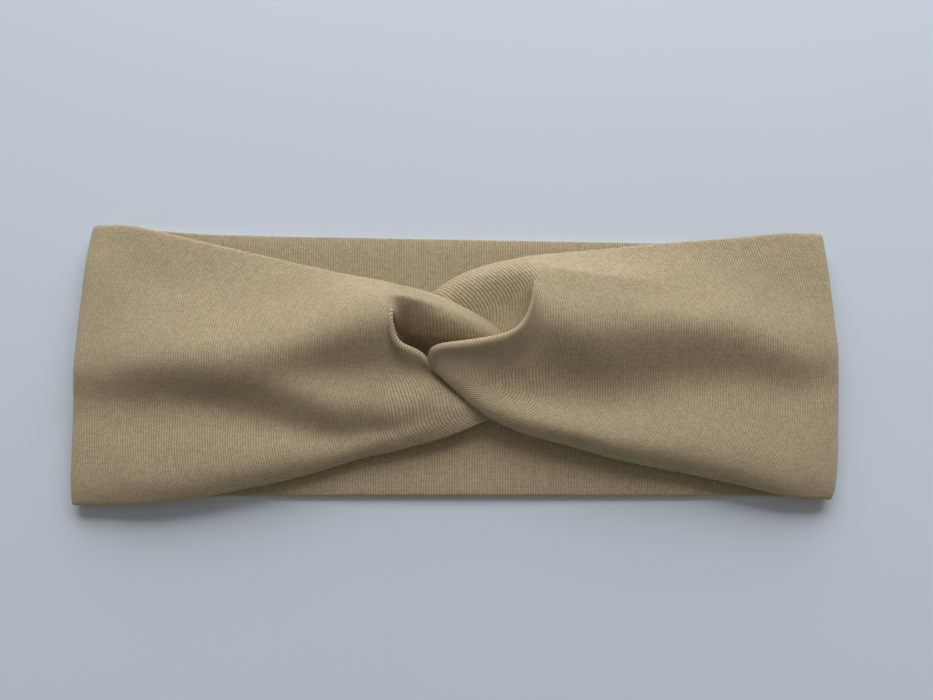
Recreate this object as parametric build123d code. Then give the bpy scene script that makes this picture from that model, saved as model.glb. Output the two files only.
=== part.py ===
"""A twist headband of cotton jersey, lying collapsed on a table with its knot uppermost.

The frame is in millimetres: X runs along the band from the left fold to the right one, Y runs across it, and
Z is up. The origin is under the middle of the band, on the face that it rests on. The cloth is one strip,
sewn into a flat tube of two layers. The tube goes from the closing seam in the knot along the left wing, round
the left fold, along the back band, round the right fold and back along the right wing to the same seam. Each
stretch of it is a node of its own, so that the loop stays open.
"""

import math
import os

from build123d import *

# Driving sizes of the band
BAND_LENGTH = 242.0  # from the outside of one fold to the outside of the other
BACK_WIDTH = 85.6  # the back band, from edge to edge
LEFT_FOLD_WIDTH = 90.8  # the band flares a little where it turns
RIGHT_FOLD_WIDTH = 86.0
FLARE_LENGTH = 34.0  # how far from each fold the back band starts to flare
CLOTH = 1.8  # two layers of jersey
EDGE_ROUNDING = 0.75  # of the back band's long folded edges
FOLD_GAP = 5.4  # the free height inside each fold
LOOP_GAP = 4.6  # the free height between the back band and the edges of the wings
FOLD_REACH = 13.0  # from the outside of a fold to the plane where the wing and the back band start
KNOT_LEFT = -22.0  # the plane where the left wing ends and its straps start
KNOT_RIGHT = 26.0  # the same for the right wing
KNOT_HEIGHT = 21.0  # the top of the knot over the table
JOIN = 0.02  # the gap between two nodes of the same cloth
STRAP_CLEARANCE = 0.4  # at least, between a strap of the knot and what it crosses over

# Closing seam, hidden in the knot
BUNDLE_MIDDLE = 2.5  # along the band
BUNDLE_LENGTH = 24.0  # across the band
BUNDLE_WIDTH = 9.0
BUNDLE_THICKNESS = 3.8
BUNDLE_CLEARANCE = 0.3  # over the back band
BUNDLE_ROUNDING = 1.2

# Stitches of the closing seam and of the seam along the tube
THREAD = 0.35
STITCH_LENGTH = 2.4
TUBE_STITCH_PITCH = 3.6
CLOSING_STITCH_PITCH = 2.2
SEAM_END_MARGIN = 3.0  # from the last stitch to the end of what it is sewn on
SEAM_GROOVE = 0.42  # how deep the tube's seam pulls into the cloth
GROOVE_WIDTH = 0.9

FOLD_HEIGHT = FOLD_GAP + 2 * CLOTH
LEFT_END = -BAND_LENGTH / 2
RIGHT_END = BAND_LENGTH / 2
LEFT_PLANE = LEFT_END + FOLD_REACH
RIGHT_PLANE = RIGHT_END - FOLD_REACH
FOLD_MIDLINE = FOLD_HEIGHT - CLOTH / 2  # the middle of the cloth on top of a fold
EDGE_MIDLINE = 1.5 * CLOTH + LOOP_GAP  # the middle of the cloth along the wings' edges
KNOT_MIDLINE = KNOT_HEIGHT - CLOTH / 2  # the middle of the cloth on top of the knot
BUNDLE_BASE = CLOTH + BUNDLE_CLEARANCE

# The drape: each station is how far it is from the fold (0) to the knot (1), and points across the cloth.
# A point is its share of the back band's half width, and its share of the rise from the wings' edges to the
# top of the knot. Each line has the upper edge, the high fold, the valley, the low fold and the lower edge.
LEFT_WING_DRAPE = [
    (0.19, [(0.98, 0), (0.73, 0.14), (0.39, 0.28), (0, 0.3), (-0.22, 0.17), (-0.58, 0.23), (-0.87, 0.12), (-1.03, 0)]),
    (0.49, [(0.82, 0), (0.63, 0.22), (0.39, 0.46), (0.12, 0.46), (-0.15, 0.16), (-0.48, 0.26), (-0.8, 0.12), (-0.94, 0)]),
    (0.77, [(0.7, 0), (0.56, 0.27), (0.39, 0.56), (0.17, 0.56), (-0.05, 0.18), (-0.34, 0.32), (-0.63, 0.14), (-0.79, 0)]),
    (1.0, [(0.6, 0), (0.52, 0.38), (0.41, 0.8), (0.25, 0.68), (0.05, 0.22), (-0.29, 0.32), (-0.53, 0.14), (-0.67, 0)]),
]
RIGHT_WING_DRAPE = [
    (0.19, [(0.95, 0), (0.77, 0.14), (0.53, 0.28), (0.22, 0.3), (-0.07, 0.17), (-0.36, 0.22), (-0.65, 0.18), (-0.93, 0)]),
    (0.46, [(0.91, 0), (0.77, 0.22), (0.61, 0.44), (0.34, 0.48), (0.05, 0.18), (-0.24, 0.22), (-0.53, 0.26), (-0.82, 0)]),
    (0.76, [(0.86, 0), (0.77, 0.26), (0.65, 0.58), (0.44, 0.72), (0.17, 0.32), (-0.1, 0.2), (-0.39, 0.34), (-0.69, 0)]),
    (1.0, [(0.82, 0), (0.76, 0.3), (0.65, 0.74), (0.45, 0.99), (0.22, 0.66), (-0.02, 0.24), (-0.31, 0.34), (-0.57, 0)]),
]
FLAT_SHARES = (1, 0.72, 0.43, 0.14, -0.14, -0.43, -0.72, -1)  # a wing's points where it leaves its fold

# The straps of the knot: each station is its place from KNOT_LEFT (0) to KNOT_RIGHT (1)
LEFT_UPPER_DRAPE = [
    (0.0, [(0.6, 0), (0.52, 0.38), (0.41, 0.8), (0.3, 0.76)]),
    (0.29, [(0.52, 0.22), (0.43, 0.57), (0.33, 0.73), (0.21, 0.59)]),
    (0.54, [(0.38, 0.41), (0.325, 0.54), (0.26, 0.6), (0.195, 0.51)]),
    (0.75, [(0.255, 0.32), (0.215, 0.4), (0.175, 0.43), (0.13, 0.38)]),
]
RIGHT_UPPER_DRAPE = [
    (0.27, [(0.51, -0.05), (0.425, 0.01), (0.34, 0.01), (0.255, -0.04)]),
    (0.46, [(0.625, -0.02), (0.51, 0.09), (0.375, 0.1), (0.255, 0.02)]),
    (0.71, [(0.75, 0), (0.63, 0.16), (0.46, 0.16), (0.3, 0.09)]),
    (1.0, [(0.81, 0), (0.74, 0.2), (0.62, 0.37), (0.44, 0.27)]),
]
LEFT_LOWER_DRAPE = [
    (0.0, [(0.17, 0.49), (-0.025, 0.23), (-0.29, 0.3), (-0.53, 0.13), (-0.67, 0)]),
    (0.25, [(0.12, 0.4), (-0.075, 0.23), (-0.29, 0.23), (-0.46, 0.09), (-0.58, -0.04)]),
    (0.48, [(-0.075, 0.12), (-0.195, 0.12), (-0.315, 0.07), (-0.41, -0.01), (-0.51, -0.1)]),
    (0.69, [(-0.17, -0.02), (-0.24, -0.02), (-0.315, -0.055), (-0.375, -0.1), (-0.435, -0.18)]),
]
RIGHT_LOWER_DRAPE = [
    (0.31, [(0.125, 0.68), (0.095, 0.65), (0.06, 0.59), (0.025, 0.54), (-0.01, 0.49), (-0.045, 0.41)]),
    (0.46, [(0.195, 0.82), (0.12, 0.74), (0.025, 0.59), (-0.05, 0.48), (-0.135, 0.41), (-0.22, 0.29)]),
    (0.71, [(0.26, 0.88), (0.145, 0.77), (0, 0.57), (-0.145, 0.41), (-0.29, 0.4), (-0.425, 0.15)]),
    (1.0, [(0.52, 0.96), (0.37, 0.92), (0.22, 0.66), (-0.02, 0.24), (-0.31, 0.34), (-0.57, 0)]),
]

# The plan of each fold: its share of the fold's half width, and how far inside the band's end it lies
LEFT_FOLD_PLAN = [(-1, 0.9), (-0.5, 0.2), (0, 0), (0.5, 0.7), (1, 2.4)]
RIGHT_FOLD_PLAN = [(-1, 4.0), (-0.5, 1.1), (0, 0), (0.5, 0.6), (1, 2.1)]


def save(shape, name):
    """Name a sub-part and write its file."""
    shape.label = name
    export_step(shape, f"parts/{name}.step")


def draped(points):
    """The (across, height) places of points that are given as shares."""
    half = BACK_WIDTH / 2
    rise = KNOT_MIDLINE - EDGE_MIDLINE
    return [(across * half, EDGE_MIDLINE + share * rise) for across, share in points]


def sides(line):
    """The points of a line's two sides, half the cloth away along its normals."""
    over = []
    under = []
    for index, (across, height) in enumerate(line):
        before = line[max(index - 1, 0)]
        after = line[min(index + 1, len(line) - 1)]
        run = after[0] - before[0]
        rise = after[1] - before[1]
        reach = CLOTH / 2 / math.hypot(run, rise)
        over.append((across + rise * reach, height - run * reach))
        under.append((across - rise * reach, height + run * reach))
    return over, under


def round_end(tip, inner):
    """The outermost point of a line's rounded end."""
    reach = CLOTH / 2 / math.dist(tip, inner)
    return tuple(a + (a - b) * reach for a, b in zip(tip, inner))


def cloth_section(x, line):
    """The closed outline of the cloth round a line of (across, height) points, in the plane at x."""
    over, under = sides(line)
    top = [Vector(x, *point) for point in over]
    bottom = [Vector(x, *point) for point in reversed(under)]
    first = Vector(x, *round_end(line[0], line[1]))
    last = Vector(x, *round_end(line[-1], line[-2]))
    return Wire(
        [
            Edge.make_spline(top),
            Edge.make_three_point_arc(top[-1], last, bottom[0]),
            Edge.make_spline(bottom),
            Edge.make_three_point_arc(bottom[-1], first, top[0]),
        ]
    )


def cloth(stations):
    """A stretch of cloth through its sections, from (x, line) pairs."""
    return Solid.make_loft([cloth_section(x, line) for x, line in stations], ruled=False)


def wing(fold_plane, knot_plane, fold_width, drape):
    """A stretch on top of the loop, flat at its fold and rising in two soft folds towards the knot."""
    reach = knot_plane - fold_plane
    gap = math.copysign(JOIN, reach)
    edge = (fold_width - CLOTH) / 2
    stations = [(fold_plane + gap, [(share * edge, FOLD_MIDLINE) for share in FLAT_SHARES])]
    for share, points in drape:
        stations.append((fold_plane + share * reach, draped(points)))
    stations[-1] = (knot_plane - gap, stations[-1][1])
    return cloth(stations)


def height_across(points, across):
    """The height of a line of (across, height) points at a place across, or 0 beside it."""
    for (upper, upper_height), (lower, lower_height) in zip(points, points[1:]):
        if lower <= across <= upper:
            share = (across - lower) / (upper - lower)
            return lower_height + share * (upper_height - lower_height)
    return 0


def cloth_top(stations, x, across):
    """The top of the cloth through those stations at a place in plan, or 0 beside it."""
    for (left, left_points), (right, right_points) in zip(stations, stations[1:]):
        if left <= x <= right:
            left_height = height_across(left_points, across)
            right_height = height_across(right_points, across)
            if min(left_height, right_height) > 0:
                share = (x - left) / (right - left)
                return left_height + share * (right_height - left_height) + CLOTH / 2
    return 0


def bundle_top(x, across):
    """The top of the closing seam and its stitches at a place in plan, or 0 beside it."""
    reach = BUNDLE_WIDTH / 2 + CLOTH
    if abs(x - BUNDLE_MIDDLE) < reach and abs(across) < BUNDLE_LENGTH / 2 + CLOTH:
        return BUNDLE_BASE + BUNDLE_THICKNESS + THREAD
    return 0


def strap_stations(drape, under=()):
    """The sections of a strap, from the left, each raised if it would meet the strap under it or the seam."""
    reach = KNOT_RIGHT - KNOT_LEFT
    stations = []
    for share, shares in drape:
        x = KNOT_LEFT + share * reach
        points = draped(shares)
        lift = 0
        for across, height in points:
            below = max(bundle_top(x, across), cloth_top(under, x, across))
            lift = max(lift, below + STRAP_CLEARANCE + CLOTH / 2 - height)
        stations.append((x, [(across, height + lift) for across, height in points]))
    return stations


def fold_section(y, outside, plane):
    """The C of cloth round the end of the loop, in the plane at y."""
    turn = FOLD_HEIGHT / 2
    side = math.copysign(1, outside)
    centre = outside - side * turn
    top = FOLD_HEIGHT
    ceiling = FOLD_HEIGHT - CLOTH
    outer = [Vector(centre, y, 0), Vector(outside, y, turn), Vector(centre, y, top)]
    inner = [Vector(centre, y, ceiling), Vector(outside - side * CLOTH, y, turn), Vector(centre, y, CLOTH)]
    return Wire(
        [
            Edge.make_line(Vector(plane, y, 0), outer[0]),
            Edge.make_three_point_arc(*outer),
            Edge.make_line(outer[-1], Vector(plane, y, top)),
            Edge.make_line(Vector(plane, y, top), Vector(plane, y, ceiling)),
            Edge.make_line(Vector(plane, y, ceiling), inner[0]),
            Edge.make_three_point_arc(*inner),
            Edge.make_line(inner[-1], Vector(plane, y, CLOTH)),
            Edge.make_line(Vector(plane, y, CLOTH), Vector(plane, y, 0)),
        ]
    )


def fold(end, plane, width, plan):
    """The cloth round one end of the loop."""
    inward = -math.copysign(1, end)
    sections = [fold_section(share * width / 2, end + inward * inset, plane) for share, inset in plan]
    return Solid.make_loft(sections, ruled=False)


def band_edge(side):
    """One long edge of the back band on the table: straight, and flaring out to the width of each fold."""
    left_end = Vector(LEFT_PLANE + JOIN, side * LEFT_FOLD_WIDTH / 2, 0)
    left_start = Vector(LEFT_PLANE + FLARE_LENGTH, side * BACK_WIDTH / 2, 0)
    right_start = Vector(RIGHT_PLANE - FLARE_LENGTH, side * BACK_WIDTH / 2, 0)
    right_end = Vector(RIGHT_PLANE - JOIN, side * RIGHT_FOLD_WIDTH / 2, 0)
    along = Vector(1, 0, 0)
    return [
        Edge.make_spline([left_end, left_start], tangents=[left_start - left_end, along]),
        Edge.make_line(left_start, right_start),
        Edge.make_spline([right_start, right_end], tangents=[along, right_end - right_start]),
    ]


def back_band():
    """The flat stretch that the headband rests on, with the seam of the tube sunk along its inner face."""
    upper = band_edge(1)
    lower = band_edge(-1)
    ends = [Edge.make_line(upper[0] @ 0, lower[0] @ 0), Edge.make_line(upper[-1] @ 1, lower[-1] @ 1)]
    slab = extrude(Face(Wire(upper + lower + ends)), CLOTH, dir=(0, 0, 1))
    long_edges = [edge for edge in slab.edges() if abs((edge % 0.5).X) > 0.5]
    slab = fillet(long_edges, EDGE_ROUNDING)
    length = RIGHT_PLANE - LEFT_PLANE
    middle = (RIGHT_PLANE + LEFT_PLANE) / 2
    groove = Pos(middle, 0, CLOTH - SEAM_GROOVE / 2) * Box(length, GROOVE_WIDTH, SEAM_GROOVE)
    return (slab - groove).solid()


def places(start, end, pitch):
    """The middles of stitches spread evenly from start to end, a pitch apart."""
    count = int((end - start) / pitch)
    first = (start + end - count * pitch) / 2
    return [first + step * pitch for step in range(count + 1)]


def tube_seam_stitches():
    """The stitches that show along the tube's seam, lying in its groove."""
    one = Cylinder(THREAD / 2, STITCH_LENGTH, rotation=(0, 90, 0))
    height = CLOTH - SEAM_GROOVE + THREAD / 2
    spots = places(LEFT_PLANE + SEAM_END_MARGIN, RIGHT_PLANE - SEAM_END_MARGIN, TUBE_STITCH_PITCH)
    return Compound([Pos(x, 0, height) * one for x in spots])


def closing_seam_allowance():
    """The raw ends of the tube, folded together and sewn, between the back band and the straps."""
    block = Box(BUNDLE_WIDTH, BUNDLE_LENGTH, BUNDLE_THICKNESS)
    block = fillet(block.edges(), BUNDLE_ROUNDING)
    return Pos(BUNDLE_MIDDLE, 0, BUNDLE_BASE + BUNDLE_THICKNESS / 2) * block


def closing_seam_stitches():
    """The overlock stitches on top of the closing seam's raw edge."""
    one = Cylinder(THREAD / 2, STITCH_LENGTH, rotation=(0, 90, 0))
    height = BUNDLE_BASE + BUNDLE_THICKNESS + THREAD / 2
    margin = BUNDLE_ROUNDING + SEAM_END_MARGIN / 2
    spots = places(-BUNDLE_LENGTH / 2 + margin, BUNDLE_LENGTH / 2 - margin, CLOSING_STITCH_PITCH)
    return Compound([Pos(BUNDLE_MIDDLE, y, height) * one for y in spots])


os.makedirs("parts", exist_ok=True)
save(back_band(), "back_band")
save(fold(LEFT_END, LEFT_PLANE, LEFT_FOLD_WIDTH, LEFT_FOLD_PLAN), "left_fold")
save(fold(RIGHT_END, RIGHT_PLANE, RIGHT_FOLD_WIDTH, RIGHT_FOLD_PLAN), "right_fold")
save(wing(LEFT_PLANE, KNOT_LEFT, LEFT_FOLD_WIDTH, LEFT_WING_DRAPE), "left_wing")
save(wing(RIGHT_PLANE, KNOT_RIGHT, RIGHT_FOLD_WIDTH, RIGHT_WING_DRAPE), "right_wing")
right_upper_stations = strap_stations(RIGHT_UPPER_DRAPE)
left_lower_stations = strap_stations(LEFT_LOWER_DRAPE)
save(cloth(right_upper_stations), "right_upper_strap")
save(cloth(left_lower_stations), "left_lower_strap")
save(cloth(strap_stations(LEFT_UPPER_DRAPE, under=right_upper_stations)), "left_upper_strap")
save(cloth(strap_stations(RIGHT_LOWER_DRAPE, under=left_lower_stations)), "right_lower_strap")
save(closing_seam_allowance(), "closing_seam_allowance")
save(closing_seam_stitches(), "closing_seam_stitches")
save(tube_seam_stitches(), "tube_seam_stitches")
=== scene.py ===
"""A twist headband of jersey, lying collapsed on a table: its cloth, seams and finish round the model."""

import math

import bmesh
import bpy
from mathutils import Matrix, Vector


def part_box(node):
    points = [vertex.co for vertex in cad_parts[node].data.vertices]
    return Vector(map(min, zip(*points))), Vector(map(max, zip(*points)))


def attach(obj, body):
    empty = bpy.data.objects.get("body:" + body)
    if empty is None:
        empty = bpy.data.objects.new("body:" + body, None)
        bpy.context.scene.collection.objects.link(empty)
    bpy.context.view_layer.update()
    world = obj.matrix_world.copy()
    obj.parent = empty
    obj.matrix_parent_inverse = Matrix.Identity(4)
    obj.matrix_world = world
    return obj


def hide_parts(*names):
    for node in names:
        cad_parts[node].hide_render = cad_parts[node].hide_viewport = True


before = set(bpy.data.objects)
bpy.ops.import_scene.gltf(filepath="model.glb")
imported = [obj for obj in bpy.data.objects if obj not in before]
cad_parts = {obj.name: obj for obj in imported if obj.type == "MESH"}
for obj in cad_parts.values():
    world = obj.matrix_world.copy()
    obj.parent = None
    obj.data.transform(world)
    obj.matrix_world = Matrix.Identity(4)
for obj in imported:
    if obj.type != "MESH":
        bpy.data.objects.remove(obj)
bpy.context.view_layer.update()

bl_info = {
    "name": "Twist Headband",
    "version": (1, 0, 0),
    "blender": (4, 5, 0),
    "location": "3D View > Sidebar > Headband",
    "description": "Makes a twist headband of jersey, with its seams and a table to lie on",
    "category": "Object",
}

MM = 0.001
BODY = "root"
CLOTH_UV = "cloth"

# The cloth's drape is a cage of stations along the band, each with one point for every row across the cloth.
# All its tables are in millimetres, and give the middle of the cloth's thickness.
ROWS = 11  # across the cloth, from its upper edge to its lower edge
SLIT_ROW = 3  # where the ends part into an upper and a lower strap in the knot

# A station of a wing is its place along the band and the (across, height) of each row: the upper edge, the
# slope up to the high fold, the fall from it to the valley, the low fold and the lower edge.
LEFT_WING = [
    (-28, [(26.1, 7), (22.8, 11), (18.6, 15.2), (13, 18.2), (5.6, 17.8), (-3.5, 9),
           (-15, 13.8), (-21.5, 7.4), (-24.8, 8.2), (-27.6, 7.2), (-29.8, 4.4)]),
    (-38, [(28.2, 6.4), (24, 9.6), (18.6, 13.4), (12, 16.8), (4.4, 18.2), (-4.2, 9),
           (-15.4, 14.4), (-23, 6.2), (-28, 7.6), (-30.8, 7), (-32.8, 4.4)]),
    (-49, [(30.9, 6.6), (25.8, 8.6), (19, 11.4), (11, 15.2), (2.6, 18), (-4, 13.4),
           (-11.6, 14.2), (-20.6, 6), (-27.6, 9.2), (-33.2, 8.4), (-36.6, 4.4)]),
    (-62, [(34, 7), (28, 8.2), (20.5, 10), (10.5, 13.6), (1, 17.2), (-6.6, 16),
           (-12, 9.6), (-18, 5.6), (-26.4, 9.2), (-35, 9), (-39.2, 4.6)]),
    (-78, [(37.8, 7), (31, 8), (22, 9), (11.6, 12), (2.4, 15.6), (-4, 15.2),
           (-9.6, 8.8), (-14.6, 6.2), (-25, 9.4), (-38.6, 9), (-42.8, 4.8)]),
    (-94, [(41.6, 7.4), (34, 7.8), (24.5, 8.6), (13.4, 10.8), (3.4, 14), (-4, 14.6),
           (-10.8, 8.2), (-16, 6.6), (-26, 8.8), (-39.6, 8.8), (-44.8, 5)]),
    (-106, [(44.6, 7.6), (36, 8), (27, 8.4), (15.6, 9.6), (5, 11.8), (-3.6, 12.6),
            (-11, 7.6), (-16.6, 6.6), (-27, 7.8), (-39.5, 7.2), (-45.4, 4.2)]),
]
RIGHT_WING = [
    (106, [(41.6, 8.2), (33.6, 8.6), (25.4, 9), (15.6, 10), (6.8, 12), (0, 11.4),
           (-6, 8.4), (-12, 7.6), (-22, 8.2), (-38.6, 7.8), (-43.4, 4.4)]),
    (96, [(40.3, 8.2), (34, 8.6), (26.5, 9.2), (17, 11.2), (8.2, 14), (1.4, 12.8),
          (-4.4, 8.8), (-9.6, 8), (-17, 9), (-37, 9.4), (-40.8, 5)]),
    (82, [(39.2, 8), (33, 8.8), (25.5, 10.6), (18.6, 13), (11, 15.8), (4.4, 13.6),
          (-2, 9.8), (-7.6, 8.2), (-15, 8.8), (-33, 10.8), (-37.4, 4.8)]),
    (66, [(38, 7.8), (31.5, 9.4), (23.2, 13.4), (18.2, 14.8), (11.6, 17), (5.2, 14.4),
          (-1.4, 10.4), (-7, 8.2), (-13.8, 8.2), (-29.6, 12), (-34.4, 4.8)]),
    (50, [(36.2, 7.6), (31, 10), (24.8, 14.6), (19.4, 15.8), (12.4, 18), (5, 17),
          (-2.2, 11.6), (-9, 8), (-15, 7.4), (-26.8, 12.6), (-30.8, 5)]),
    (38, [(35, 7.2), (31.2, 10.6), (26.2, 15.6), (20.4, 16.9), (13.2, 19), (5.4, 18.8),
          (-2.4, 11), (-9.4, 8), (-15.4, 7.8), (-24, 12.6), (-27.6, 5.4)]),
]
# The last stations before the knot and the straps after it, as (along, across, height) of each row. Each end
# of the strip parts at the slit row, into an upper strap of the first rows and a lower strap of the last ones.
# A tuck is the cloth that goes down into the knot from an upper strap's lower edge.
LEFT_MOUTH = [(-22, 24.9, 7.8), (-22, 22, 12), (-21.8, 18.8, 15.8), (-20.6, 15, 18.2), (-22.8, 7.6, 17.6),
              (-22, -3.2, 9), (-21.5, -15.2, 13.6), (-22, -21.6, 7.8), (-22, -24.2, 8.2), (-22, -26.4, 7),
              (-22, -28.6, 4.6)]
RIGHT_MOUTH = [(29, 34.1, 6.9), (28.8, 31.4, 10.6), (27.4, 27.6, 15.6), (25, 23.8, 17.2), (27, 16, 19.4),
               (27.6, 8.4, 19), (28.2, -0.6, 12), (28.6, -8, 8.6), (28.6, -14.2, 8.6), (28.6, -21, 12.2),
               (28.6, -24.8, 6.2)]
LEFT_UPPER_STRAP = [
    [(-17.5, 23.3, 9), (-17.3, 21.4, 13.2), (-17, 18.8, 15.6), (-17, 14.4, 12)],
    [(-12, 21.7, 10.2), (-12, 19.9, 14), (-11.8, 17.4, 16.4), (-11.3, 13, 14)],
    [(-6, 19.5, 11), (-6, 17.8, 14.2), (-6, 15.4, 16.6), (-6, 11.2, 15.4)],
    [(0, 16.6, 11.4), (0, 15.2, 13.8), (0, 13, 15.8), (-0.4, 9.4, 15)],
    [(6, 13.4, 11.4), (5.8, 12.2, 13), (5.4, 10.4, 14.4), (5, 7.6, 13.8)],
    [(11, 10.6, 11), (10.8, 9.6, 12), (10.4, 8.2, 13), (10, 6.2, 12.4)],
    [(16, 6.5, 10), (15.8, 5.8, 10.6), (15.4, 4.8, 11), (15, 3.4, 10.6)],
]
LEFT_UPPER_TUCK = [
    [(-18.8, 8.6, 9), (-16.4, 8, 7), (-11.2, 7.4, 9.6), (-6, 6.4, 11.4),
     (-0.6, 5.6, 11.8), (4.8, 4.6, 11.4), (9.6, 3.4, 10.4), (14.6, 1.6, 9.4)],
    [(-18.6, 9.4, 5.4), (-16, 9.4, 4.8), (-11.2, 9, 5.4), (-6, 8, 6.2),
     (-0.8, 6.6, 7.2), (4.6, 4, 8.2), (9.2, 2.4, 8.6), (14.2, 0.6, 8.2)],
    [(-18.6, 11, 3.2), (-16, 11, 3), (-11.2, 10.4, 3), (-6, 9.4, 3.2),
     (-0.8, 7, 4.2), (4.6, 4, 5.8), (9.2, 2.4, 6.8), (14.2, 0.6, 7.2)],
]
LEFT_LOWER_STRAP = [
    [(-20.6, 10, 17.8), (-20.3, 4.4, 15), (-19.3, -3.4, 9.4), (-18.6, -15, 13.1),
     (-18.3, -21.2, 8.2), (-18, -23.8, 8.4), (-18, -25.8, 7.2), (-18, -27.9, 4.8)],
    [(-19.4, 5, 16.8), (-17.8, 1.4, 13.2), (-16.3, -4, 9.4), (-15, -14, 12.8),
     (-14.4, -20, 8.8), (-14, -22.4, 8.6), (-13.8, -24.6, 7.4), (-13.6, -26.8, 5)],
    [(-16.6, 2.8, 15.6), (-14.9, -0.2, 12.4), (-13.2, -4.6, 9.5), (-11.3, -12.6, 12.1),
     (-10.5, -18.6, 9.4), (-10, -21, 8.8), (-9.7, -23.3, 7.6), (-9.4, -25.7, 5.2)],
    [(-12.4, 1.8, 14.3), (-11.2, -1.2, 11.7), (-9.8, -5, 9.4), (-7.7, -11.2, 11),
     (-6.6, -16.6, 9.8), (-6, -19.5, 8.7), (-5.6, -22, 7.5), (-5.3, -24.5, 5.4)],
    [(-9.8, -0.4, 12.8), (-8.6, -2.8, 10.9), (-6.9, -5.4, 9.1), (-4.4, -9.8, 9.6),
     (-3.2, -14.6, 9.5), (-2.3, -18.2, 8.4), (-1.6, -21, 7.2), (-1.2, -23.2, 5.6)],
    [(-8.6, -3.2, 11.2), (-6.9, -4.6, 9.6), (-4.6, -6.2, 8.4), (-1.2, -9.6, 8.4),
     (0.6, -13.8, 8.7), (1.8, -17, 7.9), (2.6, -19.6, 6.9), (3, -21.6, 5.6)],
    [(-6.4, -4.8, 9), (-4, -6, 7.8), (-1.4, -7.3, 7.2), (2, -9.4, 7.1),
     (4.4, -13, 7.5), (5.4, -15.8, 7.3), (6.2, -18, 6.5), (6.8, -20, 5.4)],
    [(-1, -5.6, 6.8), (1, -6.6, 6.5), (3.2, -7.8, 6.3), (6, -9.6, 6.2),
     (8.4, -12.4, 6.3), (9.4, -14.4, 6.4), (10.2, -16.4, 6), (10.8, -18.4, 5.2)],
    [(5, -6.6, 6), (6.6, -7.4, 5.9), (8.4, -8.4, 5.8), (10.8, -10, 5.7),
     (12.8, -12, 5.7), (13.6, -13.4, 5.6), (14.4, -15, 5.4), (15, -16.6, 4.8)],
]
RIGHT_UPPER_STRAP = [
    [(24.2, 33.5, 6.6), (24, 31.8, 10.8), (23.6, 27.8, 15.2), (23.2, 22.4, 15)],
    [(20.5, 32.7, 6.8), (20.3, 31, 10.8), (20, 27.4, 14.2), (20.4, 20.8, 12)],
    [(16.5, 31.9, 7), (16.3, 30.1, 10.8), (15.8, 26.6, 13.4), (16.2, 19, 10.6)],
    [(11.5, 30.7, 7.4), (11.3, 28.6, 10.8), (10.6, 25.2, 12.8), (11, 17, 10)],
    [(6, 29, 7.8), (5.6, 26.6, 10.7), (4.6, 22.8, 12), (5, 14.2, 9.4)],
    [(0.5, 26.7, 8.2), (0, 24.2, 10.3), (-1, 19.6, 11), (-0.5, 12, 8.8)],
    [(-4.5, 23.8, 8.2), (-5, 21.2, 9.6), (-6, 16.4, 9.8), (-4, 10.6, 7.6)],
    [(-9.5, 19.5, 7.6), (-10, 17, 8.4), (-10, 13.6, 7.8), (-5.6, 11.6, 6.6)],
]
RIGHT_UPPER_TUCK = [
    [(24.8, 18.5, 15), (22.6, 15.4, 12.6), (19.6, 13.4, 11), (15.4, 11.6, 10), (10, 9.6, 9.4),
     (4, 7.4, 8.8), (-0.8, 6, 7.8), (-3.4, 8, 6.4), (-4.4, 9.4, 5.6)],
    [(25, 12.5, 13.4), (22.4, 9.6, 11.6), (19, 8.4, 10.6), (14.8, 7, 9.8), (9.4, 5.4, 9),
     (3.4, 3.8, 8.4), (-1.2, 3, 7.2), (-2.8, 6.4, 5.6), (-3.8, 8.8, 5)],
]
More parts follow.
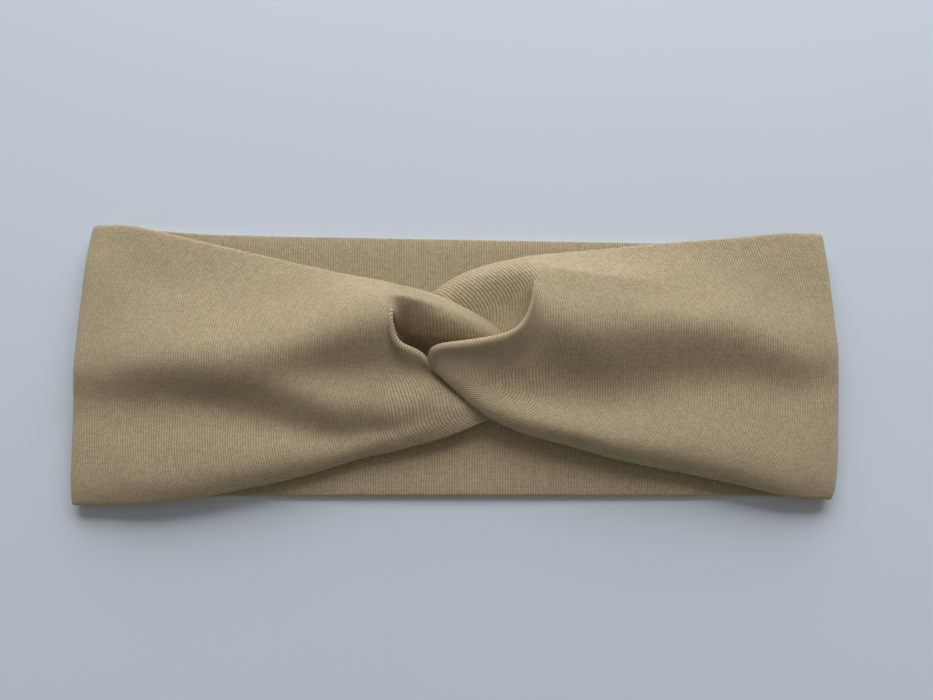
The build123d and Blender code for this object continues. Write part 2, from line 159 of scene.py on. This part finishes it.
RIGHT_LOWER_STRAP = [
    [(24.4, 19, 18.1), (24.8, 12.6, 18.8), (24.2, 5.2, 15.6), (23.2, -2, 11.2),
     (22.5, -8.4, 8.4), (22.1, -13.6, 8.8), (21.9, -19.4, 12), (21.7, -23.4, 6.8)],
    [(23.2, 13.6, 18.7), (22.2, 8, 17.2), (20.2, 2.4, 14), (18.2, -2.6, 11),
     (17.2, -7.6, 8.9), (16.7, -12, 9.2), (16.4, -17.4, 11.7), (16.1, -21.2, 7.4)],
    [(20.8, 9.2, 18.6), (18.5, 4.6, 16.2), (15.7, 0.6, 13.6), (13.6, -3, 11.6),
     (12.2, -6.8, 10), (11.3, -10.8, 10), (10.9, -15.2, 11.3), (10.5, -18.4, 8)],
    [(16.5, 6.2, 18.2), (13.6, 3, 15.8), (10.9, 0.2, 13.8), (8.9, -2.6, 12.4),
     (7.5, -5.8, 11.4), (6.7, -9, 11), (6.3, -12.4, 11.2), (5.9, -15.2, 8.8)],
    [(10.5, 4.8, 17.7), (8, 2.4, 15.6), (5.8, 0.3, 13.9), (4, -2, 12.9),
     (3, -4.4, 12.2), (2.4, -6.9, 11.7), (2, -9.4, 11.2), (1.6, -11.6, 9.4)],
    [(3.8, 3.7, 16.9), (2, 2.1, 15.3), (0.4, 0.6, 14.2), (-0.6, -1.1, 13.4),
     (-1.2, -2.8, 12.6), (-1.6, -4.6, 12), (-1.8, -6.4, 11.4), (-2.2, -8.2, 10.2)],
    [(-2.6, 3.4, 15.8), (-3.6, 2.3, 14.9), (-4.4, 1.1, 14.1), (-5, -0.1, 13.4),
     (-5.2, -1.3, 12.7), (-5.3, -2.5, 12.1), (-5.3, -3.7, 11.6), (-5.4, -4.9, 10.9)],
    [(-6.8, 2.7, 14.5), (-7.5, 1.7, 14), (-8, 0.7, 13.5), (-8.2, -0.3, 13),
     (-8.2, -1.2, 12.5), (-8.1, -2, 11.9), (-7.8, -2.8, 11.4), (-7.4, -3.5, 11)],
    [(-8, 1.2, 12), (-8.2, 0.6, 11.7), (-8.4, 0, 11.4), (-8.5, -0.7, 11),
     (-8.5, -1.3, 10.6), (-8.4, -1.9, 10.2), (-8.2, -2.5, 9.9), (-7.8, -3, 9.6)],
    [(-6.4, 0.6, 9.8), (-6.6, 0.2, 9.6), (-6.8, -0.3, 9.4), (-7, -0.8, 9.2),
     (-7, -1.3, 9), (-6.9, -1.8, 8.8), (-6.7, -2.2, 8.6), (-6.4, -2.6, 8.4)],
]
ROLL = ((0.6, -1.3), (-1.4, -2.6), (-1.8, -5.5))  # how far out and up a rolled mouth's rows lie from its rim

# The two ends of the loop, where the strip turns from a wing to the back band.
HALF_LENGTH = 120.9
LEFT_INSETS = (2.4, 1.6, 1, 0.6, 0.3, 0.1, 0, 0, 0.2, 0.5, 0.9)  # how far inside its end each row folds
RIGHT_INSETS = (2.1, 1.4, 0.9, 0.5, 0.2, 0, 0, 0.3, 0.9, 2, 4)
LEFT_FOLD_TOPS = (6.4, 7.2, 8, 8.4, 9, 9.8, 7, 6.2, 6.4, 5.8, 3.6)  # the height of each row on the turn
RIGHT_FOLD_TOPS = (7, 7.6, 8, 8.4, 9.2, 9.2, 7.6, 7, 7, 6.2, 3.8)
FOLD_TURN = 6.0  # how far inside its end a fold starts to turn
FOLD_BASE = 0.9  # the height of the cloth that lies on the table

# The back band, between the two ends.
BACK_STATIONS = (-104, -88, -70, -45, -15, 15, 45, 70, 88, 104)
BACK_SHARES = (1, 0.93, 0.72, 0.49, 0.25, 0, -0.25, -0.49, -0.72, -0.93, -1)  # of the half width, by row
BACK_HALF = 42.4  # the half width in the middle
BACK_FLARE_START = 70.0  # beyond this place the band widens towards its ends
BACK_FLARE_END = 104.0
BACK_FLARE_LEFT = 2.4  # how much wider each half is at the left end
BACK_FLARE_RIGHT = 0.2
BACK_PUFF = 0.5  # how far the air in the tube lifts the back band between its edges
BACK_DROP = 1.36  # how far below its full width the back band's upper edge lies in the middle
BACK_LEAN = 0.0189  # how much further it lies below it for each millimetre to the right

# Sharp folds, the skew of the knit in the knot, and the cloth's small rumples.
RIDGE_ROW = 2  # the row along which the right wing and the left upper strap are pinched
RIDGE_STATIONS = 4  # of the right wing, counted from the knot
RIDGE_CREASE = 0.6
TONGUE_STATIONS = 4  # of the left upper strap, counted from its mouth
TONGUE_CREASE = 0.6
TONGUE_LEAN = 1.2  # how far the ribs of the left upper strap lean, for each millimetre across
LEAN_STATIONS = 2  # over which that lean grows
KNOT_WALES = 0.72  # the knot's pull spreads the ribs of its straps, so that fewer lie on each millimetre
RUMPLE_SIZE = 16 * MM
RUMPLE_DEPTH = 1.1 * MM
RAISED = 3 * MM  # above this height the cloth is rumpled

# The sewing thread, and the gathers of the raw ends.
THREAD = 0.35 * MM
THREAD_SIDES = 10
STITCH = 2.4 * MM
TUBE_STITCH_PITCH = 3.6 * MM
CLOSING_STITCH_PITCH = 1.1 * MM
OVERLOCK_SLANT = 24.0  # degrees
PLEATS = 5

# The camera's height in degrees, its distance and the point that it looks at in millimetres, and the light.
CAMERA_ELEVATION = 81.0
CAMERA_DISTANCE = 0.2918
CAMERA_AIM = (3.2, 3.9, 3.0)
WINDOW_PLACE = (0.12, 1.4, 0.76)
WINDOW_SIZE = (2.2, 1.3)
WINDOW_POWER = 36.0
ROOM_LIGHT = 0.19


class HeadbandSizes(bpy.types.PropertyGroup):
    """Sizes and colours of the headband that a user would change."""

    thickness: bpy.props.FloatProperty(
        name="Cloth thickness", description="Two layers of jersey", default=1.8 * MM, unit="LENGTH"
    )
    wale: bpy.props.FloatProperty(
        name="Wale spacing", description="From rib to rib of the knit", default=0.8 * MM, unit="LENGTH"
    )
    course: bpy.props.FloatProperty(
        name="Course spacing", description="From row to row of stitches", default=0.6 * MM, unit="LENGTH"
    )
    colour: bpy.props.FloatVectorProperty(
        name="Jersey colour",
        description="Colour of the yarn",
        subtype="COLOR",
        default=(0.54, 0.443, 0.284),
    )
    thread: bpy.props.FloatVectorProperty(
        name="Thread colour",
        description="Colour of the sewing thread",
        subtype="COLOR",
        default=(0.50, 0.41, 0.27),
    )
    table: bpy.props.FloatVectorProperty(
        name="Table colour",
        description="Colour of the table",
        subtype="COLOR",
        default=(0.72, 0.80, 0.90),
    )


class Maths:
    """A shader value that adds its own Math nodes when it is used in an expression."""

    def __init__(self, tree, socket):
        self.tree = tree
        self.socket = socket

    def using(self, operation, *values):
        node = self.tree.nodes.new("ShaderNodeMath")
        node.operation = operation
        for place, value in enumerate(values):
            if isinstance(value, Maths):
                self.tree.links.new(value.socket, node.inputs[place])
            else:
                node.inputs[place].default_value = value
        return Maths(self.tree, node.outputs[0])

    def __add__(self, other):
        return self.using("ADD", self, other)

    def __radd__(self, other):
        return self.using("ADD", other, self)

    def __sub__(self, other):
        return self.using("SUBTRACT", self, other)

    def __rsub__(self, other):
        return self.using("SUBTRACT", other, self)

    def __mul__(self, other):
        return self.using("MULTIPLY", self, other)

    def __rmul__(self, other):
        return self.using("MULTIPLY", other, self)

    def __truediv__(self, other):
        return self.using("DIVIDE", self, other)

    def __pow__(self, other):
        return self.using("POWER", self, other)

    def __mod__(self, other):
        return self.using("FLOORED_MODULO", self, other)

    def __abs__(self):
        return self.using("ABSOLUTE", self)

    def sine(self):
        return self.using("SINE", self)

    def floor(self):
        return self.using("FLOOR", self)


class Finish:
    """One material under construction."""

    def __init__(self, name):
        self.material = bpy.data.materials.new(name)
        self.material.use_nodes = True
        self.tree = self.material.node_tree
        self.shader = self.tree.nodes["Principled BSDF"]

    def node(self, kind, settings=None, **sockets):
        """A node of that kind; settings are set first, then its sockets by name, with _ for a space."""
        node = self.tree.nodes.new(kind)
        for key, value in (settings or {}).items():
            setattr(node, key, value)
        for key, value in sockets.items():
            self.set(node, key.replace("_", " "), value)
        return node

    def set(self, node, socket, value):
        """A node's socket by name or number takes a value or a link."""
        target = node.inputs[socket]
        if isinstance(value, Maths):
            value = value.socket
        if isinstance(value, bpy.types.NodeSocket):
            self.tree.links.new(value, target)
        else:
            target.default_value = value

    def value(self, socket):
        return Maths(self.tree, socket)

    def mix(self, share, first, second):
        """A colour between two colours."""
        node = self.node("ShaderNodeMix", {"data_type": "RGBA"})
        for place, value in ((0, share), (6, first), (7, second)):
            self.set(node, place, value)
        return node.outputs[2]


def shade(colour, factor):
    """A colour made lighter or darker, as a node's four numbers."""
    return (*[part * factor for part in colour], 1)


def jersey_finish(sizes):
    """Single jersey: fine ribs across the band, each a chain of V stitches, with slubs, a soft bloom and
    painted shade in the grooves between the ribs.
    """
    finish = Finish("beige_jersey")
    cloth = finish.node("ShaderNodeUVMap", {"uv_map": CLOTH_UV}).outputs[0]
    split = finish.node("ShaderNodeSeparateXYZ", Vector=cloth)
    along = finish.value(split.outputs[0])
    across = finish.value(split.outputs[1])

    drift = finish.node("ShaderNodeTexNoise", Vector=cloth, Scale=70.0, Detail=2.0)
    wander = finish.value(drift.outputs[0]) - 0.5
    wale = ((along + wander * (1.2 * MM)) / sizes.wale) % 1.0
    side = abs(wale - 0.5) * 2.0
    rib = 1.0 - side**2.0
    stitch = ((across / sizes.course + side * 0.6) * math.tau).sine() * 0.5 + 0.5
    loop = rib * (stitch * 0.45 + 0.55)
    cell = finish.node(
        "ShaderNodeCombineXYZ", X=(along / sizes.wale).floor(), Y=(across / sizes.course + side * 0.6).floor()
    )
    uneven_noise = finish.node("ShaderNodeTexWhiteNoise", {"noise_dimensions": "2D"}, Vector=cell.outputs[0])
    uneven = finish.value(uneven_noise.outputs["Value"])

    slub_place = finish.node("ShaderNodeMapping", Vector=cloth, Scale=(230.0, 1300.0, 1.0))
    slub = finish.node("ShaderNodeTexNoise", Vector=slub_place.outputs[0], Scale=1.0, Detail=3.0)
    yarn = finish.value(slub.outputs[0])
    fuzz_noise = finish.node("ShaderNodeTexNoise", Vector=cloth, Scale=2600.0, Detail=2.0)
    fuzz = finish.value(fuzz_noise.outputs[0])
    bloom = finish.node("ShaderNodeTexNoise", Vector=cloth, Scale=28.0, Detail=4.0)
    cloud = finish.value(bloom.outputs[0])

    # Darker in the grooves between the ribs and stitches and lighter on their tops: painted shade and light of
    # the knit's relief, mixed with the slubs' and stitches' own uneven tone.
    depth = loop * 0.48 + yarn * 0.2 + uneven * 0.2 + fuzz * 0.12
    tone = finish.mix(cloud, shade(sizes.colour, 0.95), shade(sizes.colour, 1.07))
    tone_with_painted_shade = finish.node("ShaderNodeMix", {"data_type": "RGBA", "blend_type": "MULTIPLY"})
    finish.set(tone_with_painted_shade, 0, 1.0)
    finish.set(tone_with_painted_shade, 6, tone)
    finish.set(tone_with_painted_shade, 7, finish.mix(depth, (0.42, 0.40, 0.37, 1), (1.5, 1.5, 1.5, 1)))
    finish.set(finish.shader, "Base Color", tone_with_painted_shade.outputs[2])
    finish.set(finish.shader, "Roughness", 0.95)
    finish.set(finish.shader, "Specular IOR Level", 0.2)
    finish.set(finish.shader, "Sheen Weight", 0.3)
    finish.set(finish.shader, "Sheen Roughness", 0.4)
    finish.set(finish.shader, "Sheen Tint", (1.0, 0.95, 0.85, 1))
    relief = (loop * 0.22 + yarn * 0.06 + fuzz * 0.05) * MM
    bump = finish.node("ShaderNodeBump", Strength=1.0, Distance=1.0, Height=relief)
    finish.set(finish.shader, "Normal", bump.outputs[0])
    return finish.material


def jersey_raw_finish(sizes):
    """The jersey's raw ends, where the ribs fray."""
    finish = Finish("beige_jersey_raw_end")
    place = finish.node("ShaderNodeTexCoord").outputs["Object"]
    ribs = finish.node(
        "ShaderNodeTexWave", {"bands_direction": "Y"}, Vector=place, Scale=640.0, Distortion=2.0
    )
    rib = finish.value(ribs.outputs["Fac"])
    fray_noise = finish.node("ShaderNodeTexNoise", Vector=place, Scale=1500.0, Detail=3.0)
    fray = finish.value(fray_noise.outputs[0])
    # Darker between the ribs: painted shade in their grooves, mixed with the fray's own uneven tone.
    depth = rib * 0.6 + fray * 0.4
    colour = finish.mix(depth, shade(sizes.colour, 0.55), shade(sizes.colour, 1.2))
    finish.set(finish.shader, "Base Color", colour)
    finish.set(finish.shader, "Roughness", 0.95)
    finish.set(finish.shader, "Sheen Weight", 0.3)
    bump = finish.node("ShaderNodeBump", Strength=0.9, Distance=1.0, Height=depth * (0.3 * MM))
    finish.set(finish.shader, "Normal", bump.outputs[0])
    return finish.material


def thread_finish(sizes):
    """Spun sewing thread, twisted round itself."""
    finish = Finish("beige_thread")
    place = finish.node("ShaderNodeTexCoord").outputs["Object"]
    ply = finish.node(
        "ShaderNodeTexWave", {"bands_direction": "DIAGONAL"}, Vector=place, Scale=2200.0, Distortion=1.5
    )
    twist = finish.value(ply.outputs["Fac"])
    colour = finish.mix(twist, shade(sizes.thread, 0.72), shade(sizes.thread, 1.1))
    finish.set(finish.shader, "Base Color", colour)
    finish.set(finish.shader, "Roughness", 0.6)
    finish.set(finish.shader, "Sheen Weight", 0.2)
    bump = finish.node("ShaderNodeBump", Strength=0.6, Distance=1.0, Height=twist * (0.06 * MM))
    finish.set(finish.shader, "Normal", bump.outputs[0])
    return finish.material


def table_finish(sizes):
    """A smooth pale table."""
    finish = Finish("pale_table")
    place = finish.node("ShaderNodeTexCoord").outputs["Object"]
    grain = finish.node("ShaderNodeTexNoise", Vector=place, Scale=9.0, Detail=3.0)
    colour = finish.mix(finish.value(grain.outputs[0]), shade(sizes.table, 0.985), shade(sizes.table, 1.015))
    finish.set(finish.shader, "Base Color", colour)
    finish.set(finish.shader, "Roughness", 0.55)
    return finish.material


def finish_mesh(mesh, name, material):
    """A bmesh as a smooth-shaded object of that name and finish."""
    data = bpy.data.meshes.new(name)
    mesh.to_mesh(data)
    mesh.free()
    for face in data.polygons:
        face.use_smooth = True
    data.materials.append(material)
    piece = bpy.data.objects.new(name, data)
    bpy.context.scene.collection.objects.link(piece)
    return piece


def add_modifier(piece, kind, name, **settings):
    """A modifier with those settings."""
    modifier = piece.modifiers.new(name, kind)
    for key, value in settings.items():
        setattr(modifier, key, value)
    return modifier


def set_place(points):
    """Points in millimetres as vectors in metres."""
    return [Vector(point) * MM for point in points]


def fold_stations(end, insets, tops, rows):
    """The stations round one end of the loop, down to the back band; rows are the wing's last station."""
    inward = -math.copysign(1, end)
    line = [(end + inward * inset, across, top) for (across, _), inset, top in zip(rows, insets, tops)]
    return [
        [(x + inward * FOLD_TURN, y, top) for x, y, top in line],
        [(x, y, top) for x, y, top in line],
        [(x, y, FOLD_BASE) for x, y, _ in line],
        [(x + inward * FOLD_TURN, y, FOLD_BASE) for x, y, _ in line],
    ]


def strip_stations():
    """The stations of the whole strip, from the knot along the left wing, round the back and to the knot."""
    left = [LEFT_MOUTH] + [[(x, y, z) for y, z in line] for x, line in LEFT_WING]
    right = [[(x, y, z) for y, z in line] for x, line in RIGHT_WING] + [RIGHT_MOUTH]
    left_fold = fold_stations(-HALF_LENGTH, LEFT_INSETS, LEFT_FOLD_TOPS, LEFT_WING[-1][1])
    right_fold = fold_stations(HALF_LENGTH, RIGHT_INSETS, RIGHT_FOLD_TOPS, RIGHT_WING[0][1])
    back = []
    for x in BACK_STATIONS:
        flare = max(0.0, abs(x) - BACK_FLARE_START) / (BACK_FLARE_END - BACK_FLARE_START)
        half = BACK_HALF + (BACK_FLARE_LEFT if x < 0 else BACK_FLARE_RIGHT) * flare**2
        puff = BACK_PUFF * (1 - flare)
        heights = [FOLD_BASE + (puff if abs(share) < 1 else 0) for share in BACK_SHARES]
        drop = max(0, BACK_DROP + BACK_LEAN * x)
        across = [half * share - drop * max(share, 0) for share in BACK_SHARES]
        back.append([(x, y, height) for y, height in zip(across, heights)])
    return left + left_fold + back + list(reversed(right_fold)) + right


def make_strip(sizes):
    """The strip's mesh: a grid laid along the stations, with the knot's straps drawn out of its two ends."""
    stations = [set_place(points) for points in strip_stations()]
    columns = len(stations)
    mesh = bmesh.new()
    bmesh.ops.create_grid(mesh, x_segments=columns - 1, y_segments=ROWS - 1, size=1.0)
    along = mesh.verts.layers.float.new("along")
    across = mesh.verts.layers.float.new("across")
    grid = [[None] * ROWS for _ in range(columns)]
    for vert in mesh.verts:
        column = round((vert.co.x + 1) / 2 * (columns - 1))
        row = round((1 - vert.co.y) / 2 * (ROWS - 1))
        grid[column][row] = vert
    for column, points in enumerate(stations):
        for row, point in enumerate(points):
            grid[column][row].co = point
    middle = columns // 2
    for row in range(ROWS):
        grid[middle][row][along] = 0.0
        for step in (1, -1):
            column = middle
            while 0 <= column + step < columns:
                here = grid[column][row]
                column += step
                there = grid[column][row]
                there[along] = here[along] + step * (there.co - here.co).length
    for line in grid:
        measure_across(line, across, ROWS // 2)

    layers = (along, across)
    left_end = grid[0]
    right_end = grid[-1]
    creases = mesh.edges.layers.float.new("crease_edge")
    pinch(mesh, [line[RIDGE_ROW] for line in grid[-RIDGE_STATIONS:]], creases, RIDGE_CREASE)
    left_upper = draw_strap(mesh, left_end[:SLIT_ROW + 1], LEFT_UPPER_STRAP, layers, -1)
    lean_ribs(left_upper, layers, TONGUE_LEAN)
    pinch(mesh, [line[RIDGE_ROW] for line in left_upper[:TONGUE_STATIONS]], creases, TONGUE_CREASE)
    draw_tuck(mesh, [line[-1] for line in left_upper], LEFT_UPPER_TUCK, layers)
    right_upper = draw_strap(mesh, right_end[:SLIT_ROW + 1], RIGHT_UPPER_STRAP, layers, 1)
    draw_tuck(mesh, [line[-1] for line in right_upper], RIGHT_UPPER_TUCK, layers)
    left_lower = draw_strap(mesh, left_end[SLIT_ROW:], LEFT_LOWER_STRAP, layers, -1)
    draw_roll(mesh, [line[0] for line in left_lower], layers, 1)
    right_lower = draw_strap(mesh, right_end[SLIT_ROW:], RIGHT_LOWER_STRAP, layers, 1)
    draw_roll(mesh, [line[0] for line in right_lower], layers, -1)

    cloth_map = mesh.loops.layers.uv.new(CLOTH_UV)
    for face in mesh.faces:
        for corner in face.loops:
            corner[cloth_map].uv = (corner.vert[along], corner.vert[across])
    bmesh.ops.recalc_face_normals(mesh, faces=mesh.faces)
    return mesh


def measure_across(line, across, centre):
    """Each vertex of a line across the cloth gets its distance from the line's centre."""
    line[centre][across] = 0.0
    for step in (1, -1):
        row = centre
        while 0 <= row + step < len(line):
            here = line[row]
            row += step
            line[row][across] = here[across] + step * (line[row].co - here.co).length


def draw_out(mesh, line, points):
    """Extrudes a line of vertices to the next points, and returns the new line."""
    edges = [mesh.edges.get((a, b)) for a, b in zip(line, line[1:])]
    result = bmesh.ops.extrude_edge_only(mesh, edges=edges)
    made = {item for item in result["geom"] if isinstance(item, bmesh.types.BMVert)}
    new_line = []
    for old in line:
        ends = [edge.other_vert(old) for edge in old.link_edges]
        new_line.append(next(end for end in ends if end in made))
    for vert, point in zip(new_line, points):
        vert.co = point
    return new_line


def draw_strap(mesh, line, stations, layers, step):
    """Draws a strap of the knot out of one end of the strip, and returns its lines of vertices."""
    along, across = layers
    lines = [line]
    for points in stations:
        new_line = draw_out(mesh, line, set_place(points))
        for old, new in zip(line, new_line):
            new[across] = old[across]
            new[along] = old[along] + step * (new.co - old.co).length * KNOT_WALES
        line = new_line
        lines.append(line)
    return lines


def pinch(mesh, verts, creases, weight):
    """Sharpens the edges of the mesh that join a row of vertices."""
    for first, second in zip(verts, verts[1:]):
        mesh.edges.get((first, second))[creases] = weight


def lean_ribs(lines, layers, lean):
    """Leans the ribs of a strap, which the pull of the knot skews, more from line to line."""
    along, across = layers
    for step, line in enumerate(lines[1:], start=1):
        for vert in line:
            vert[along] += lean * min(step, LEAN_STATIONS) / LEAN_STATIONS * (vert[across] - line[-1][across])


def draw_tuck(mesh, chain, rows, layers):
    """Draws the rows of cloth that hide in the knot out of a strap's inner edge."""
    along, across = layers
    for points in rows:
        new_chain = draw_out(mesh, chain, set_place(points))
        for old, new in zip(chain, new_chain):
            new[along] = old[along]
            new[across] = old[across] + (new.co - old.co).length
        chain = new_chain


def draw_roll(mesh, rim, layers, side):
    """Rolls a mouth's edge under itself; side is 1 where outwards is left of the way that the rim goes."""
    along, across = layers
    places = [vert.co.copy() for vert in rim]
    outwards = []
    for index in range(len(places)):
        way = places[min(index + 1, len(places) - 1)] - places[max(index - 1, 0)]
        outwards.append(Vector((-way.y, way.x, 0)).normalized() * side)
    chain = rim
    for out, up in ROLL:
        rise = Vector((0, 0, up))
        points = [place + (outward * out + rise) * MM for place, outward in zip(places, outwards)]
        new_chain = draw_out(mesh, chain, points)
        for old, new in zip(chain, new_chain):
            new[along] = old[along]
            new[across] = old[across] - (new.co - old.co).length
        chain = new_chain


def add_stitch(mesh, middle, length, turn):
    """One stitch of thread lying flat, its length turned from the band's own direction."""
    lie = Matrix.Rotation(math.radians(turn), 4, "Z") @ Matrix.Rotation(math.radians(90), 4, "Y")
    stitch = bmesh.ops.create_cone(
        mesh,
        cap_ends=True,
        segments=THREAD_SIDES,
        radius1=THREAD / 2,
        radius2=THREAD / 2,
        depth=length,
        matrix=Matrix.Translation(middle) @ lie,
    )
    edges = {edge for vert in stitch["verts"] for edge in vert.link_edges}
    ends = [edge for edge in edges if len([face for face in edge.link_faces if len(face.verts) > 4]) == 1]
    bmesh.ops.bevel(
        mesh,
        geom=ends,
        offset=THREAD / 4,
        segments=2,
        profile=0.5,
        affect="EDGES",
        material=-1,
        clamp_overlap=True,
    )


def places(start, end, pitch):
    """The middles of stitches spread evenly from start to end, a pitch apart."""
    count = int((end - start) / pitch)
    first = (start + end - count * pitch) / 2
    return [first + step * pitch for step in range(count + 1)]


class HEADBAND_OT_tube_seam(bpy.types.Operator):
    """Make the line of stitches along the tube's seam, on the inner face of the back band"""

    bl_idname = "headband.tube_seam"
    bl_label = "Tube Seam"

    def execute(self, context):
        sizes = context.scene.headband
        low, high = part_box("tube_seam_stitches")
        mesh = bmesh.new()
        height = sizes.thickness + THREAD / 4
        for x in places(low.x + STITCH / 2, high.x - STITCH / 2, TUBE_STITCH_PITCH):
            add_stitch(mesh, Vector((x, 0, height)), STITCH, 0)
        seam = finish_mesh(mesh, "tube_seam_thread", thread_finish(sizes))
        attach(seam, BODY)
        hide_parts("tube_seam_stitches")
        return {"FINISHED"}


class HEADBAND_OT_closing_seam(bpy.types.Operator):
    """Make the gathered raw ends of the tube, inside the knot, and the overlock thread on them"""

    bl_idname = "headband.closing_seam"
    bl_label = "Closing Seam"

    def execute(self, context):
        sizes = context.scene.headband
        low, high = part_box("closing_seam_allowance")
        middle = (low + high) / 2
        half = (high - low) / 2
        layer = sizes.thickness / 2
        mesh = bmesh.new()
        bmesh.ops.create_grid(mesh, x_segments=6, y_segments=PLEATS * 8, size=1.0)
        for vert in mesh.verts:
            swing = math.cos(vert.co.y * math.pi * PLEATS)
            spread = 1 - 0.08 * vert.co.x**2
            vert.co = middle + Vector(
                (
                    half.x * vert.co.x * (0.94 + 0.04 * swing),
                    (half.y - layer) * vert.co.y * spread,
                    (half.z - layer) * swing * 0.9,
                )
            )
        bmesh.ops.recalc_face_normals(mesh, faces=mesh.faces)
        bundle = finish_mesh(mesh, "closing_seam_gathers", jersey_raw_finish(sizes))
        add_modifier(bundle, "SOLIDIFY", "One layer", thickness=layer, offset=0.0)
        add_modifier(bundle, "SUBSURF", "Soft edges", levels=1, render_levels=1)
        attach(bundle, BODY)
        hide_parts("closing_seam_allowance")

        thread = bmesh.new()
        for step, y in enumerate(places(low.y + STITCH, high.y - STITCH, CLOSING_STITCH_PITCH)):
            slant = OVERLOCK_SLANT if step % 2 else -OVERLOCK_SLANT
            add_stitch(thread, Vector((middle.x, y, high.z + THREAD / 2)), STITCH, slant)
        overlock = finish_mesh(thread, "closing_seam_overlock", thread_finish(sizes))
        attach(overlock, BODY)
        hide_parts("closing_seam_stitches")
        return {"FINISHED"}


class HEADBAND_OT_strip(bpy.types.Operator):
    """Make the jersey strip, with its folds and the knot"""

    bl_idname = "headband.strip"
    bl_label = "Jersey Strip"

    def execute(self, context):
        sizes = context.scene.headband
        strip = finish_mesh(make_strip(sizes), "jersey_strip", jersey_finish(sizes))
        add_modifier(strip, "SUBSURF", "Drape", levels=2, render_levels=2)
        rumple = bpy.data.textures.new("rumple", "CLOUDS")
        rumple.noise_scale = RUMPLE_SIZE
        rumple.noise_depth = 2
        raised = strip.vertex_groups.new(name="raised")
        raised.add([vert.index for vert in strip.data.vertices if vert.co.z > RAISED], 1.0, "REPLACE")
        add_modifier(
            strip,
            "DISPLACE",
            "Small rumples",
            vertex_group="raised",
            texture=rumple,
            texture_coords="LOCAL",
            mid_level=0.5,
            strength=RUMPLE_DEPTH,
        )
        add_modifier(strip, "SOLIDIFY", "Two layers", thickness=sizes.thickness, offset=0.0)
        add_modifier(strip, "SUBSURF", "Soft edges", levels=1, render_levels=1)
        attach(strip, BODY)
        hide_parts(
            "back_band",
            "left_fold",
            "right_fold",
            "left_wing",
            "right_wing",
            "left_upper_strap",
            "left_lower_strap",
            "right_upper_strap",
            "right_lower_strap",
        )
        return {"FINISHED"}


class HEADBAND_OT_stage(bpy.types.Operator):
    """Set the table, the light and the camera"""

    bl_idname = "headband.stage"
    bl_label = "Table, Light and Camera"

    def execute(self, context):
        scene = context.scene
        table = bmesh.new()
        bmesh.ops.create_grid(table, x_segments=1, y_segments=1, size=3.0)
        floor = finish_mesh(table, "table", table_finish(scene.headband))

        world = bpy.data.worlds.new("room")
        world.use_nodes = True
        sky = world.node_tree.nodes["Background"]
        sky.inputs["Color"].default_value = (1.0, 0.96, 0.9, 1)
        sky.inputs["Strength"].default_value = ROOM_LIGHT
        scene.world = world

        window = bpy.data.lights.new("window", "AREA")
        window.shape = "RECTANGLE"
        window.size, window.size_y = WINDOW_SIZE
        window.energy = WINDOW_POWER
        window.color = (0.97, 0.97, 1.0)
        lamp = bpy.data.objects.new("window", window)
        lamp.location = WINDOW_PLACE
        lamp.rotation_euler = (-lamp.location).to_track_quat("-Z", "Y").to_euler()
        scene.collection.objects.link(lamp)

        lens = bpy.data.cameras.new("camera")
        lens.lens = 35.0
        camera = bpy.data.objects.new("camera", lens)
        elevation = math.radians(CAMERA_ELEVATION)
        aim = Vector(CAMERA_AIM) * MM
        back = Vector((0, -math.cos(elevation), math.sin(elevation)))
        camera.location = aim + back * CAMERA_DISTANCE
        camera.rotation_euler = (-back).to_track_quat("-Z", "Y").to_euler()
        lens.clip_start = 0.01
        scene.collection.objects.link(camera)
        scene.camera = camera
        scene.view_settings.view_transform = "Standard"
        return {"FINISHED"}


class HEADBAND_PT_panel(bpy.types.Panel):
    """The headband's sizes and steps."""

    bl_label = "Twist Headband"
    bl_idname = "HEADBAND_PT_panel"
    bl_space_type = "VIEW_3D"
    bl_region_type = "UI"
    bl_category = "Headband"

    def draw(self, context):
        sizes = context.scene.headband
        for name in HeadbandSizes.__annotations__:
            self.layout.prop(sizes, name)
        for operator in OPERATORS:
            self.layout.operator(operator.bl_idname)


OPERATORS = (HEADBAND_OT_stage, HEADBAND_OT_tube_seam, HEADBAND_OT_closing_seam, HEADBAND_OT_strip)
CLASSES = (HeadbandSizes, *OPERATORS, HEADBAND_PT_panel)


def register():
    for one in CLASSES:
        bpy.utils.register_class(one)
    bpy.types.Scene.headband = bpy.props.PointerProperty(type=HeadbandSizes)


def unregister():
    del bpy.types.Scene.headband
    for one in reversed(CLASSES):
        bpy.utils.unregister_class(one)


def main():
    register()
    bpy.ops.headband.stage()
    bpy.ops.headband.tube_seam()
    bpy.ops.headband.closing_seam()
    bpy.ops.headband.strip()


if __name__ == "__main__":
    main()
